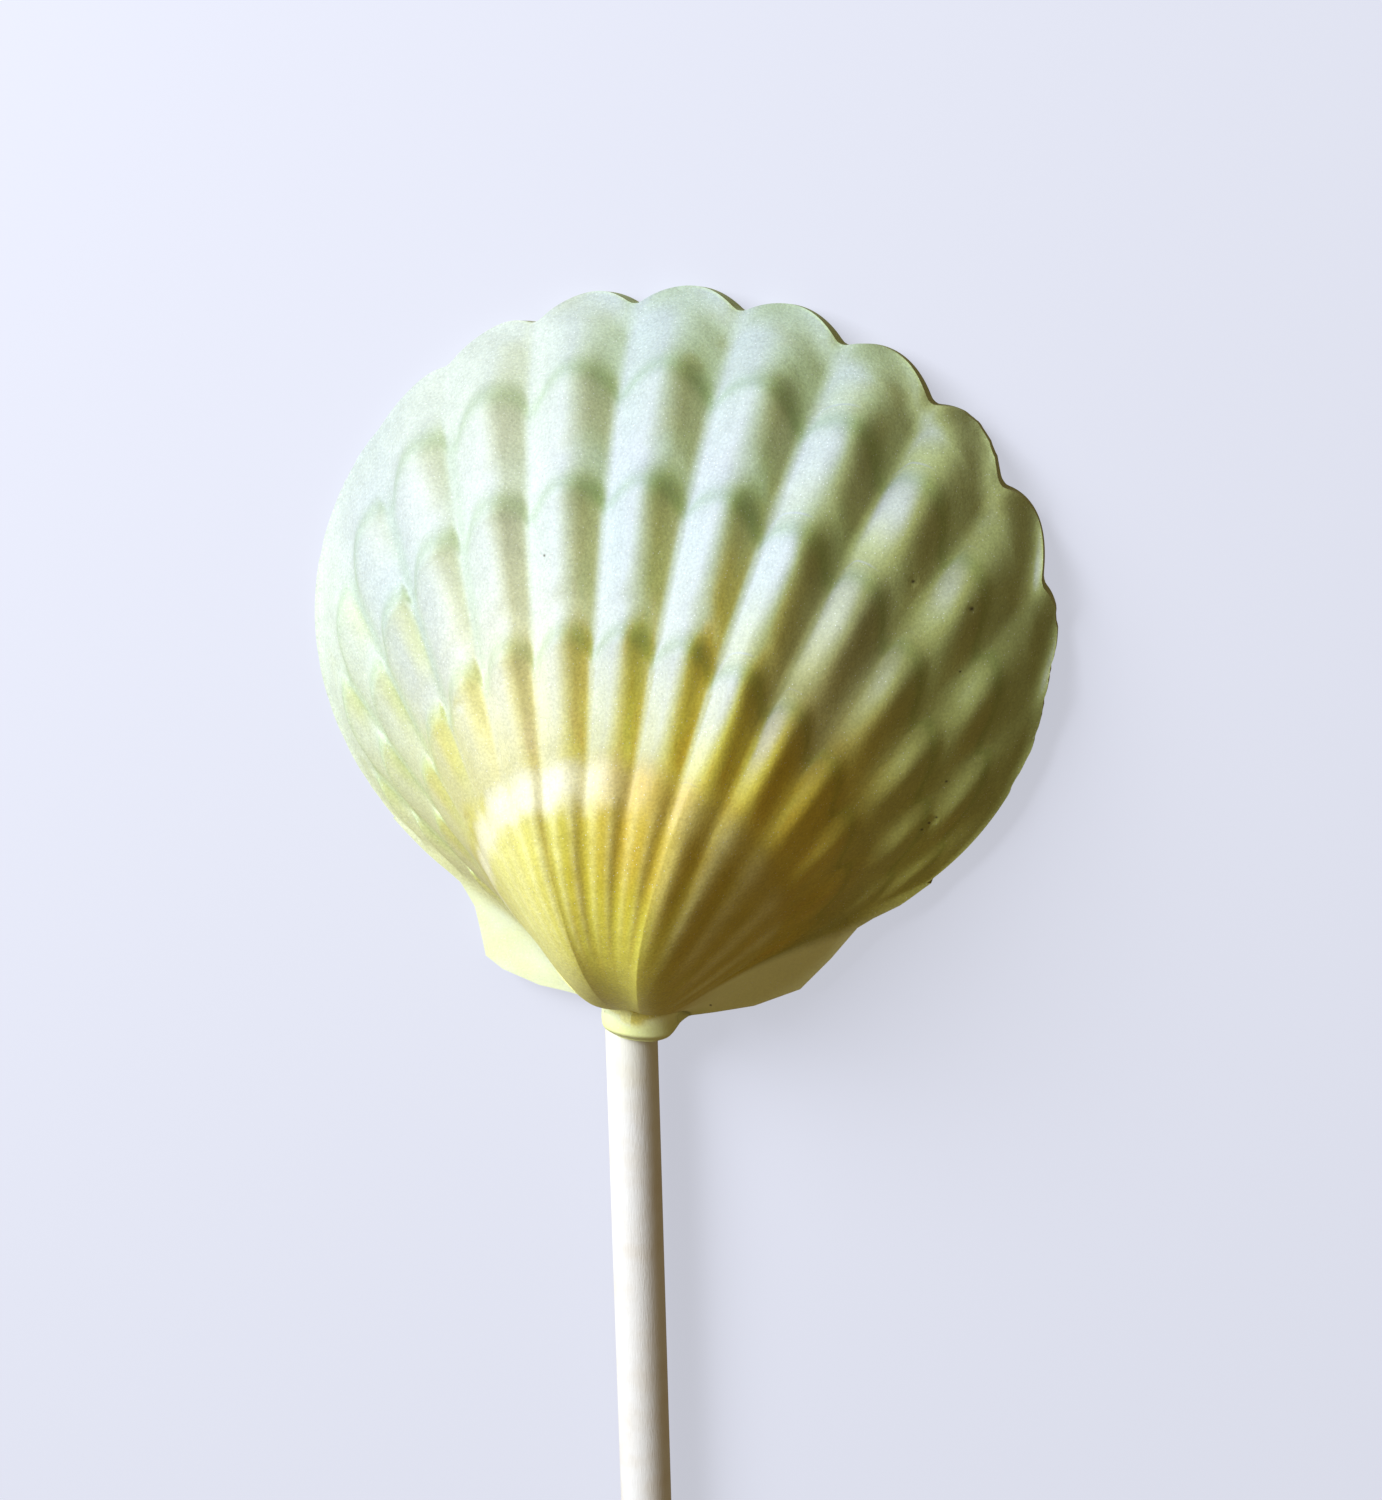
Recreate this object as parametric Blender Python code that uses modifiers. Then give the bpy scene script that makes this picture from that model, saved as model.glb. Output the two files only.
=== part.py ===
"""Chocolate shell lollipop: a solid scallop of tinted white chocolate on a rolled paper stick.

Everything is in metres, +Z up. The lollipop lies on its flat moulded back at Z = 0, ribs up. The
stick runs along -Y, and the origin is on the back below the stick's line, at the middle of the shell's
length. The shell is laid out in its own frame, with the tip of the umbo at (0, 0) and the fan axis of
its ribs along +Y, and then leans a few degrees off the stick.
"""

import math

import bmesh
import bpy
import numpy as np

MM = 0.001
FULL_TURN = 2 * math.pi

# Stick: rolled paper, lying parallel to the flat back.
STICK_DIAMETER = 4.0 * MM
STICK_LENGTH = 114.3 * MM
STICK_AXIS_HEIGHT = 3.2 * MM
STICK_EDGE_ROUNDING = 0.15 * MM
STICK_SIDES = 32
SOCKET_DEPTH = 25.0 * MM
FIT_GAP = 0.3 * MM

# Where the tip of the umbo sits in the part's frame, and how far the fan of ribs leans to +X.
UMBO_X = 0.85 * MM
UMBO_Y = -27.0 * MM
FAN_LEAN = math.radians(5.5)

# Plan outline of the shell: a lobed disc with two straight-edged ears, whose corners are in millimetres.
DISC_HALF_WIDTH = 27.65 * MM
DISC_HALF_LENGTH = 24.0 * MM
DISC_CENTRE = 27.8 * MM
DISC_SIDE_REACH = 24.0 * MM
EAR_RIGHT = (
    (3.2, -1.0),
    (5.5, -0.35),
    (8.5, 0.6),
    (11.9, 2.4),
    (14.0, 5.1),
    (16.0, 8.1),
    (18.8, 9.9),
    (21.0, 11.9),
)
EAR_LEFT = (
    (-3.3, -0.7),
    (-6.1, -0.3),
    (-8.3, -0.1),
    (-11.3, 0.8),
    (-12.7, 1.7),
    (-13.7, 5.6),
    (-15.2, 8.0),
    (-18.8, 10.2),
    (-21.0, 11.9),
)
EDGE_THICKNESS = 2.2 * MM
EDGE_VALLEY_RISE = 1.2 * MM
EDGE_CREST_DROP = 1.0 * MM

# Dome: ridge height along the fan axis, and how it falls away to the sides.
DOME_GAIN = 22.1 * MM
DOME_RISE = 0.181
DOME_RISE_START = 0.036
DOME_FALL_POWER = 0.57
DOME_HALF_ANGLE = math.radians(60.4)
DOME_SIDE_POWER = 2.56
DOME_SIDE_SHARPNESS = 1.34
FLANGE_SHARE = 0.05
FLANGE_FROM = math.radians(22)
FLANGE_FULL = math.radians(45)

# Umbo: the blunt beak above the hinge.
UMBO_BLUNTNESS = 3.2 * MM
UMBO_BLUNT_REACH = 8.0 * MM
UMBO_WALL_FOOT = -1.0 * MM
UMBO_WALL_TOP = 1.0 * MM

# Collar: the short half barrel of chocolate round the stick.
COLLAR_RADIUS = 3.25 * MM
COLLAR_OFFSET_X = -0.2 * MM
COLLAR_REACH = 2.3 * MM
COLLAR_CORNER = 1.6 * MM
COLLAR_LIP_ROUNDING = 0.35 * MM
COLLAR_SIDE_SLOPE = 3.0

# Ribs: a fan that opens wider close to the umbo, with rounded crests and sharp valleys.
RIB_COUNT = 15
RIB_PITCH = math.radians(8.3755)
RIB_SPREAD = 0.415
RIB_SPREAD_POWER = 4.0
RIB_DEPTH_SHARE = 0.21
RIB_CAP_SHARE = 0.45
RIB_CREST_POWER = 2.2
RIB_FADE_IN = (0.08, 0.30)
RIB_RIM_SHARE = 0.55
LOBE_SHARE = 0.17
LOBE_FADE = (math.radians(33), math.radians(55))
LOBE_FADE_LEFT = (-2.3, -0.7)

# Growth steps: each band of ribs ends in a raised, rounded step, like overlapping tiles.
STEPS = (0.418, 0.582, 0.768, 0.908)
STEP_HEIGHTS = (1.2 * MM, 1.0 * MM, 0.95 * MM, 0.7 * MM)
STEP_DROPS = (0.055, 0.042, 0.040, 0.034)
STEP_VALLEY_SHARE = 0.35
STEP_BOW = 0.020

# Mesh density.
COLUMNS_PER_RIB = 6
EAR_COLUMNS_PER_EDGE = 3
COLLAR_COLUMNS = 11
BAND_RINGS = (6, 3, 3, 2)
RIM_RINGS = (0.930, 0.955, 0.980, 1.0)

CHOCOLATE_COLOUR = (0.72, 0.76, 0.50, 1.0)
PAPER_COLOUR = (0.92, 0.91, 0.88, 1.0)

FAN_HALF = RIB_COUNT * RIB_PITCH / 2


def smoothstep(low, high, value):
    share = np.clip((value - low) / (high - low), 0.0, 1.0)
    return share * share * (3 - 2 * share)


def disc_reach(angle):
    """Distance from the umbo to the far side of the disc's ellipse, 0 where the ray misses it."""
    across = np.sin(angle) ** 2 / DISC_HALF_WIDTH**2
    along = np.cos(angle) ** 2 / DISC_HALF_LENGTH**2
    forward = np.cos(angle) * DISC_CENTRE / DISC_HALF_LENGTH**2
    outside = DISC_CENTRE**2 / DISC_HALF_LENGTH**2 - 1
    under_root = forward**2 - (across + along) * outside
    reach = (forward + np.sqrt(np.maximum(under_root, 0))) / (across + along)
    return np.where((under_root > 0) & (forward > 0), reach, 0.0)


def chain_reach(angle, chain):
    """Distance from the umbo to an open chain of straight edges, 0 where the ray misses it."""
    reach = np.zeros_like(angle)
    ray_x = np.sin(angle)
    ray_y = np.cos(angle)
    for (start_x, start_y), (end_x, end_y) in zip(chain, chain[1:]):
        edge_x = end_x - start_x
        edge_y = end_y - start_y
        cross = ray_x * edge_y - ray_y * edge_x
        cross = np.where(np.abs(cross) < 1e-12, 1e-12, cross)
        along_ray = (start_x * edge_y - start_y * edge_x) / cross
        along_edge = (start_x * ray_y - start_y * ray_x) / cross
        hit = (along_ray > 0) & (along_edge >= -1e-9) & (along_edge <= 1 + 1e-9)
        reach = np.where(hit, np.maximum(reach, along_ray), reach)
    return reach


def collar_chain():
    """Right side, rounded end and left side of the collar, in plan."""
    right = COLLAR_OFFSET_X + COLLAR_RADIUS
    left = COLLAR_OFFSET_X - COLLAR_RADIUS
    points = [(right, 0.0)]
    for centre_x, first in ((right - COLLAR_CORNER, 0), (left + COLLAR_CORNER, -90)):
        for step in range(5):
            turn = math.radians(first - 90 * step / 4)
            x = centre_x + COLLAR_CORNER * math.cos(turn)
            y = -COLLAR_REACH + COLLAR_CORNER + COLLAR_CORNER * math.sin(turn)
            points.append((x, y))
    points.append((left, 0.0))
    return points


def in_metres(chain):
    return [(x * MM, y * MM) for x, y in chain]


def outline_reach(angle):
    """Distance from the umbo to the outline without the lobes."""
    angle = (np.asarray(angle) + math.pi) % FULL_TURN - math.pi
    reach = disc_reach(angle)
    for chain in (in_metres(EAR_RIGHT), in_metres(EAR_LEFT), collar_chain()):
        reach = np.maximum(reach, chain_reach(angle, chain))
    return reach


def rib_crest(rib_number):
    """0 in the valleys and 1 on the crests, for a rib number that counts from the fan axis."""
    phase = (rib_number + 0.5) % 1.0
    crest = 1 - np.abs(2 * phase - 1) ** RIB_CREST_POWER
    return np.where(np.abs(rib_number) < RIB_COUNT / 2, crest, 0.0)


def band_lift(ring):
    """Height of the growth steps at a ring: it rises along each band and drops at the band's end."""
    lift = np.zeros_like(ring)
    start = 0.0
    for end, height, drop in zip(STEPS, STEP_HEIGHTS, STEP_DROPS):
        share = (ring - start) / (end - start)
        rise = np.clip(share, 0, 1) ** 1.3
        fall = 1 - smoothstep(end - drop, end, ring)
        lift = lift + np.where((ring >= start) & (ring < end), height * rise * fall, 0.0)
        start = end
    return lift


def ring_rows():
    """Ring positions from the umbo to the rim, close together at each growth step."""
    rows = []
    start = 0.0
    for end, drop, count in zip(STEPS, STEP_DROPS, BAND_RINGS):
        crest = end - drop
        rows += [start + (crest - start) * (i + 1) / (count + 1) for i in range(count)]
        rows += [crest, crest + 0.35 * drop, crest + 0.7 * drop, end]
        start = end
    return np.array(rows + list(RIM_RINGS))


def ear_angles(chain):
    """Mesh columns across one ear: one through each of its corners, and some between them."""
    corners = np.array([math.atan2(abs(x), y) for x, y in chain])[::-1]
    corners = np.concatenate([[FAN_HALF], corners[corners > FAN_HALF + math.radians(1)]])
    shares = np.arange(1, EAR_COLUMNS_PER_EDGE + 1) / EAR_COLUMNS_PER_EDGE
    return (corners[:-1, None] + np.diff(corners)[:, None] * shares).ravel()


def column_angles():
    """Angles of the mesh columns at the rim, all the way round from the fan axis."""
    ribs = np.linspace(-FAN_HALF, FAN_HALF, RIB_COUNT * COLUMNS_PER_RIB + 1)
    right = ear_angles(EAR_RIGHT)
    right_collar = np.linspace(right[-1], math.pi, COLLAR_COLUMNS + 1)[1:]
    left = ear_angles(EAR_LEFT)
    left_collar = np.linspace(left[-1], math.pi, COLLAR_COLUMNS + 1)[1:-1]
    return np.concatenate([ribs, right, right_collar, -left_collar[::-1], -left[::-1]])


def shell_points(columns, rings):
    """Top surface of the shell as (x, y, z) arrays over rings and columns, in the shell's own frame."""
    rim_angle, ring = np.meshgrid(columns, rings)
    rib_number = rim_angle / RIB_PITCH
    crest = rib_crest(rib_number)

    side_share = FLANGE_SHARE * smoothstep(FLANGE_FROM, FLANGE_FULL, np.abs(rim_angle))
    flange = side_share * (1 - smoothstep(0.93, 1.0, ring))
    bow = STEP_BOW * (crest - 0.5) * smoothstep(0.1, 0.35, ring) * (1 - smoothstep(0.91, 0.97, ring))
    share = ring * (1 - flange) + bow * (np.abs(rib_number) < RIB_COUNT / 2)

    spread = 1 + RIB_SPREAD * (1 - share) ** RIB_SPREAD_POWER
    fan_angle = rim_angle * spread
    rest_scale = (math.pi - FAN_HALF * spread) / (math.pi - FAN_HALF)
    rest_angle = np.sign(rim_angle) * (math.pi - (math.pi - np.abs(rim_angle)) * rest_scale)
    angle = np.where(np.abs(rim_angle) <= FAN_HALF + 1e-9, fan_angle, rest_angle)

    reach = outline_reach(angle)
    lobed = (1 - smoothstep(*LOBE_FADE, np.abs(rim_angle))) * smoothstep(*LOBE_FADE_LEFT, rib_number)
    lobe = LOBE_SHARE * lobed * RIB_PITCH * reach * crest
    distance = share * reach + lobe * share**6
    x = distance * np.sin(angle)
    y = distance * np.cos(angle)

    blunt = UMBO_BLUNTNESS * np.exp(-((distance / UMBO_BLUNT_REACH) ** 2))
    dome_angle = np.arctan2(x, y + blunt)
    dome_distance = np.hypot(x, y + blunt) - blunt - (distance - share * reach)
    disc = np.maximum(disc_reach(dome_angle), DISC_SIDE_REACH)
    inner = np.clip(dome_distance / disc / (1 - side_share), 0, 1)
    rise = 1 - np.exp(-(inner + DOME_RISE_START) / DOME_RISE)
    ridge = DOME_GAIN * rise * (1 - inner) ** DOME_FALL_POWER
    side = np.clip(1 - (np.abs(dome_angle) / DOME_HALF_ANGLE) ** DOME_SIDE_POWER, 0, 1)
    body = ridge * side**DOME_SIDE_SHARPNESS * smoothstep(UMBO_WALL_FOOT, UMBO_WALL_TOP, y)

    rib_width = distance * RIB_PITCH * spread
    cap = RIB_CAP_SHARE + (1 - RIB_CAP_SHARE) * smoothstep(STEPS[0] - 0.1, STEPS[0], ring)
    near_rim = 1 - (1 - RIB_RIM_SHARE) * smoothstep(0.9, 1.0, ring)
    fade = smoothstep(*RIB_FADE_IN, ring) * cap * near_rim
    on_flange = smoothstep(0.90, 1.0, inner) * smoothstep(0.5, 0.8, np.abs(rim_angle))
    side_fade = smoothstep(0.0, 0.12, side) * (1 - on_flange)
    relief = RIB_DEPTH_SHARE * rib_width * crest * fade * side_fade
    low = (1 - STEP_VALLEY_SHARE) * (1 - crest) * smoothstep(*RIB_FADE_IN, ring)
    tile = band_lift(ring) * (1 - low) * side_fade

    rim = smoothstep(0.955, 1.0, ring) * lobed
    edge = EDGE_THICKNESS + rim * (EDGE_VALLEY_RISE * (1 - crest) - EDGE_CREST_DROP * crest)
    base = edge + body + relief + tile

    across = np.abs(x - COLLAR_OFFSET_X)
    barrel = STICK_AXIS_HEIGHT + np.sqrt(np.maximum(COLLAR_RADIUS**2 - across**2, 0))
    sides = COLLAR_SIDE_SLOPE * np.maximum(across - COLLAR_RADIUS, 0)
    lip = COLLAR_LIP_ROUNDING * smoothstep(COLLAR_REACH - 0.6 * MM, COLLAR_REACH, -y)
    collar = np.where(y < UMBO_WALL_TOP, barrel - sides - lip, 0.0)
    return x, y, np.maximum(base, collar)


def to_part_frame(x, y):
    """Plan positions in the shell's own frame, leaned and moved into the part's frame."""
    turned_x = x * math.cos(FAN_LEAN) + y * math.sin(FAN_LEAN) + UMBO_X
    turned_y = -x * math.sin(FAN_LEAN) + y * math.cos(FAN_LEAN) + UMBO_Y
    return turned_x, turned_y


def make_material(name, colour, roughness):
    material = bpy.data.materials.new(name)
    material.use_nodes = True
    shader = material.node_tree.nodes["Principled BSDF"]
    shader.inputs["Base Color"].default_value = colour
    shader.inputs["Roughness"].default_value = roughness
    shader.inputs["Metallic"].default_value = 0.0
    return material


def make_shell(collection):
    """The ribbed shell with its ears and collar, as one closed mesh with a flat back."""
    columns = column_angles()
    rings = ring_rows()
    x, y, z = shell_points(columns, rings)
    x, y = to_part_frame(x, y)
    apex_x, apex_y, apex_z = shell_points(np.array([0.0]), np.array([0.0]))
    apex_x, apex_y = to_part_frame(apex_x, apex_y)

    mesh = bmesh.new()
    apex = mesh.verts.new((apex_x[0, 0], apex_y[0, 0], apex_z[0, 0]))
    rows = []
    for i in range(len(rings)):
        rows.append([mesh.verts.new((x[i, j], y[i, j], z[i, j])) for j in range(len(columns))])
    rows.append([mesh.verts.new((x[-1, j], y[-1, j], 0.0)) for j in range(len(columns))])
    for j in range(len(columns)):
        after = (j + 1) % len(columns)
        mesh.faces.new((apex, rows[0][after], rows[0][j]))
        for inner, outer in zip(rows, rows[1:]):
            mesh.faces.new((inner[j], inner[after], outer[after], outer[j]))
    mesh.faces.new(rows[-1])
    bmesh.ops.recalc_face_normals(mesh, faces=mesh.faces)
    data = bpy.data.meshes.new("shell")
    mesh.to_mesh(data)
    mesh.free()
    shell = bpy.data.objects.new("shell", data)
    collection.objects.link(shell)
    return shell


def make_rod(name, radius, start, end, collection):
    """A cylinder along Y between two places on the stick's axis."""
    mesh = bmesh.new()
    bmesh.ops.create_cone(
        mesh, cap_ends=True, segments=STICK_SIDES, radius1=radius, radius2=radius, depth=end - start
    )
    data = bpy.data.meshes.new(name)
    mesh.to_mesh(data)
    mesh.free()
    rod = bpy.data.objects.new(name, data)
    rod.location = (0.0, (start + end) / 2, STICK_AXIS_HEIGHT)
    rod.rotation_euler = (math.pi / 2, 0.0, 0.0)
    collection.objects.link(rod)
    return rod


def cut_socket(shell, cutters):
    """The blind hole that the stick is moulded into, open at the collar's mouth."""
    mouth = UMBO_Y - 3 * COLLAR_REACH
    socket = make_rod("socket_cutter", STICK_DIAMETER / 2 + FIT_GAP, mouth, UMBO_Y + SOCKET_DEPTH, cutters)
    socket.hide_render = True
    socket.display_type = "WIRE"
    cut = shell.modifiers.new("Socket", "BOOLEAN")
    cut.operation = "DIFFERENCE"
    cut.solver = "EXACT"
    cut.object = socket


def make_stick(collection):
    """The whole stick, from inside the socket to its free end."""
    end = UMBO_Y + SOCKET_DEPTH - FIT_GAP
    stick = make_rod("stick", STICK_DIAMETER / 2, end - STICK_LENGTH, end, collection)
    edge = stick.modifiers.new("Edge", "BEVEL")
    edge.width = STICK_EDGE_ROUNDING
    edge.segments = 1
    return stick


def clear_scene():
    for obj in list(bpy.data.objects):
        bpy.data.objects.remove(obj, do_unlink=True)


def main():
    clear_scene()
    parts = bpy.data.collections.new("chocolate_shell_lollipop")
    cutters = bpy.data.collections.new("cutters")
    bpy.context.scene.collection.children.link(parts)
    bpy.context.scene.collection.children.link(cutters)

    shell = make_shell(parts)
    cut_socket(shell, cutters)
    stick = make_stick(parts)

    shell.data.materials.append(make_material("chocolate", CHOCOLATE_COLOUR, 0.35))
    stick.data.materials.append(make_material("paper", PAPER_COLOUR, 0.8))
    for obj in (shell, stick):
        obj.data.shade_smooth()
        obj.data.set_sharp_from_angle(angle=math.radians(50))


main()
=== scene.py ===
"""Chocolate shell lollipop: pearl-dusted white chocolate shell on a rolled paper stick, lying ribs up."""

import math
from typing import NamedTuple

import bpy
import numpy as np
from mathutils import Matrix, Vector


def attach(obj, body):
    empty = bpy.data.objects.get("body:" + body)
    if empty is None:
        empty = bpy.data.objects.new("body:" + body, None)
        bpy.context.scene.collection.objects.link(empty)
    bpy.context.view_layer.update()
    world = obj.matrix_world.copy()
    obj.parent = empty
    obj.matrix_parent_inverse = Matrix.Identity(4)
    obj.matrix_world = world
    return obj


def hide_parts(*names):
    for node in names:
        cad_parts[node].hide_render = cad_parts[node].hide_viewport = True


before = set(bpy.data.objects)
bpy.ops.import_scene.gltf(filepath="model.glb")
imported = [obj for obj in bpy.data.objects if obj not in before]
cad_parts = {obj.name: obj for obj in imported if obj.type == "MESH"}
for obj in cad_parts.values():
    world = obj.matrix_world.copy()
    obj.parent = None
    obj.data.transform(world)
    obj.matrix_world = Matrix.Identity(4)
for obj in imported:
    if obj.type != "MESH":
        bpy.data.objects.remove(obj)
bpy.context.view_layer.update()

MM = 0.001
FULL_TURN = 2 * math.pi

# Stick of rolled paper
STICK_RADIUS = 2.0 * MM
STICK_AXIS_HEIGHT = 3.2 * MM
STICK_INNER_END = -2.3 * MM
STICK_OUTER_END = -116.6 * MM
STICK_SIDES = 96
STICK_ROWS = 60
STICK_FACE_RINGS = 26
STICK_FACE_CENTRE = 0.04
STICK_SEAM = 0.07 * MM
STICK_SEAM_ANGLE = math.radians(150)
STICK_SEAM_TWIST = math.radians(20)
STICK_SEAM_WIDTH = 1 / 6
STICK_SEAM_CLOSED = 0.9985
STICK_LAYER = 0.36 * MM
STICK_LAYER_GROOVE = 0.10 * MM
STICK_END_ROUNDING = 0.12 * MM
STICK_ROUNDED_FROM = 0.94
STICK_SHARP_ANGLE = math.radians(45)

# Where the tip of the umbo sits, and how far the fan of ribs leans to +X.
UMBO_X = 0.85 * MM
UMBO_Y = -27.0 * MM
FAN_LEAN = math.radians(5.5)

# Plan outline, in the shell's own frame: a lobed disc with two ears, whose corners are in millimetres.
DISC_HALF_WIDTH = 27.65 * MM
DISC_HALF_LENGTH = 24.0 * MM
DISC_CENTRE = 27.8 * MM
DISC_SIDE_REACH = 24.0 * MM
DISC_REACH = DISC_CENTRE + DISC_HALF_LENGTH
EAR_RIGHT = (
    (3.2, -1.0),
    (5.5, -0.35),
    (8.5, 0.6),
    (11.9, 2.4),
    (14.0, 5.1),
    (16.0, 8.1),
    (18.8, 9.9),
    (21.0, 11.9),
)
EAR_LEFT = (
    (-3.3, -0.7),
    (-6.1, -0.3),
    (-8.3, -0.1),
    (-11.3, 0.8),
    (-12.7, 1.7),
    (-13.7, 5.6),
    (-15.2, 8.0),
    (-18.8, 10.2),
    (-21.0, 11.9),
)
EDGE_THICKNESS = 2.2 * MM
EDGE_VALLEY_RISE = 1.2 * MM
EDGE_CREST_DROP = 1.0 * MM

# Dome
DOME_GAIN = 22.9 * MM
DOME_RISE = 0.181
DOME_RISE_START = 0.036
DOME_FALL_POWER = 0.57
DOME_HALF_ANGLE = math.radians(60.4)
DOME_SIDE_POWER = 2.56
DOME_SIDE_SHARPNESS = 1.34
DOME_SIDE_SOFTNESS = 0.34
FLANGE_SHARE = 0.03
FLANGE_SOFTNESS = 0.018

# Umbo and collar
UMBO_BLUNTNESS = 3.2 * MM
UMBO_BLUNT_REACH = 8.0 * MM
UMBO_WALL_FOOT = -1.5 * MM
UMBO_WALL_TOP = 1.0 * MM
COLLAR_RADIUS = 3.12 * MM
COLLAR_OFFSET_X = 0.18 * MM
COLLAR_REACH = 2.3 * MM
COLLAR_CORNER = 1.9 * MM
COLLAR_CORNER_STEPS = 8
COLLAR_LIP_ROUNDING = 0.9 * MM
COLLAR_LIP_LENGTH = 0.9 * MM
COLLAR_SIDE_SLOPE = 3.0

# Ribs
RIB_COUNT = 15
RIB_PITCH = math.radians(8.3755)
FAN_HALF = RIB_COUNT * RIB_PITCH / 2
RIB_SPREAD = 0.415
RIB_SPREAD_POWER = 4.0
RIB_DEPTH_SHARE = 0.21
RIB_ROOF = (0.48, 0.78)
RIB_ROUND = (0.75, 0.80)
RIB_SOFT_SHARE_RIGHT = 0.9
SADDLE_SHARE = 0.25
SADDLE_WIDTH = 0.022
SADDLE_OFFSET = 0.012
SADDLE_WIDTH_RIGHT = 0.035
LOBE_SHARE = 0.17
LOBE_POWER = 6
RIM_LOBE = (1.0, 0.86)
FINE_RIBS_PER_RIB = 2
FINE_RIB_SHIFT = 0.19
FINE_RIB_POWER = 1.5
FINE_RIB_SHARE = 0.022
PROFILE_POINTS = 201

# Growth steps
STEPS = (0.418, 0.582, 0.768, 0.908)
STEP_HEIGHTS = (0.9 * MM, 1.25 * MM, 1.4 * MM, 1.15 * MM)
STEP_DROPS = (0.070, 0.038, 0.038, 0.036)
STEP_RISE_POWER = 2.8
STEP_RISE_POWER_RIGHT = 1.1
STEP_DROP_GAIN_RIGHT = 1.4
STEP_HEIGHT_GAIN_RIGHT = -0.35
STEP_VALLEY_SHARES = (0.75, 0.40, 0.30, 0.25)
STEP_BOW = 0.045
STEP_FLANK_LOSS = 0.4
TILE_MIDDLE = 0.5
TILE_CORNER = 0.8
TILE_CORNER_LEAN = 0.45
TILE_LEAN_RIBS = 2.5

# Windows over the surface. Each has the place that is measured, where the window is shut, where it is
# fully open and, if that isn't 0, what is left where it is shut. The places are:
# ring, from the umbo (0) to the rim (1), and dome_ring, the same on the smooth dome;
# rib, the rib's number from the middle one, minus to the left;
# across, over one rib from valley (-1) to valley (1), and off_crest, its size;
# tile, from one growth step (0) to the next (1);
# angle, the size of the angle at the rim;
# inside, from the dome's sides (0) to its middle line (1).
FLANGE_SIDES = (("angle", math.radians(22), math.radians(45)),)
FLANGE_RING = (("ring", 1.0, 0.93),)
DOME_EDGE = (("dome_ring", 0.90, 1.0), ("angle", 0.5, 0.8))
RIB_SIDES = (("inside", -0.05, 0.2),)
LOBES = (("angle", math.radians(55), math.radians(33)), ("rib", -4.6, -0.6))
BOWED_TILES = (("ring", 0.1, 0.35), ("ring", 0.42, 0.56, 0.25), ("ring", 0.98, 0.91))
TILE_END_VALLEY = (("off_crest", 0.75, 1.0),)
ROUND_LEFT = (("rib", -2.0, -3.5),)
ROUND_CAP = (("ring", 0.46, 0.36),)
SOFT_RIGHT = (("rib", 2.1, 3.8),)
SOFT_RIM = (("ring", 0.86, 0.95),)
SOFT_CAP = (("ring", 0.42, 0.26),)
RIB_START = (("ring", 0.08, 0.30),)
RIB_STRENGTH = (
    ("ring", STEPS[0] - 0.06, STEPS[0] + 0.04, 0.42),
    ("ring", 0.96, 0.87, 0.34),
    ("rib", -4.5, -1.5, 0.5),
    ("rib", 4.0, 1.8, 0.5),
)
RIGHT_SIDE = (("rib", 1.2, 3.4),)
FINE_RIBS = (("ring", 0.10, 0.24), ("ring", 0.40, 0.34), ("rib", 2.5, 0.5))
STEP_FLANK = (("across", 0.0, 0.6), ("across", 1.0, 0.65), ("rib", -1.5, 0.5), ("ring", 0.36, 0.48))
ROLLED_RIM = (("ring", 0.955, 1.0),)
CHIPPED_RIM = (("ring", 0.985, 1.0),)
# Painted shade on the right flank of every tile, the side away from the lamp.
FLANK_SHADE = (
    ("across", -0.15, 0.5),
    ("across", 1.0, 0.82),
    ("tile", 0.10, 0.55),
    ("tile", 1.0, 0.72),
    ("ring", 0.93, 0.90, 0.25),
    ("ring", 0.2, 0.4),
)
# Painted shade on the right flanks of the far left tiles.
CRESCENT = (
    ("across", 0.05, 0.7),
    ("across", 1.0, 0.84),
    ("rib", -2.4, -4.0),
    ("tile", 0.0, 0.5),
    ("tile", 1.0, 0.6),
)
VALLEY_LINE = (("rib", -1.0, -2.6), ("ring", 0.50, 0.62), ("ring", 0.94, 0.88))
CREST_LINE = (("rib", 1.2, 2.4), ("rib", 7.2, 6.2), ("ring", 0.12, 0.24), ("ring", 0.43, 0.37))
EARS = (("angle", FAN_HALF - 0.03, FAN_HALF + 0.05), ("ring", 0.2, 0.5))

# Painted shade: greenish arcs just inside the growth steps outside the cap, wider on the left, and dark lines
# in the valleys of the left side.
ARC_INSET = 0.022
ARC_WIDTH = 0.011
ARC_WIDTH_GAIN = 0.006
ARC_WIDE_LEFT = (("rib", -0.5, -2.5),)
VALLEY_LINE_SHARE = 0.9
VALLEY_LINE_WIDTH = 0.22

# Pale lines on the crests of the cap's right side.
CREST_LINE_SHIFT = 0.12
CREST_LINE_POWER = 1.3

# Pearl dust and painted light: the dust is laid on what faces the key lamp, so its colours paint the lit side
# and the bare colours the shaded side.
DUST_AND_LIGHT_DIRECTION = (-0.61, 0.464, 0.643)
DUST_AND_LIGHT_FROM = 0.22
DUST_AND_LIGHT_FULL = 0.88

# Mesh density
COLUMNS_PER_RIB = 30
EAR_COLUMNS_PER_EDGE = 8
EAR_COLUMN_GAP = math.radians(1)
COLLAR_COLUMNS = 30
RING_STEPS = 250
APEX_RING = 1e-6
WALL_HEIGHTS = (0.85, 0.5, 0.15, 0.0)

# Slack for rounding
SLACK = 1e-9
LEAST_CROSS = 1e-12

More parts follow.
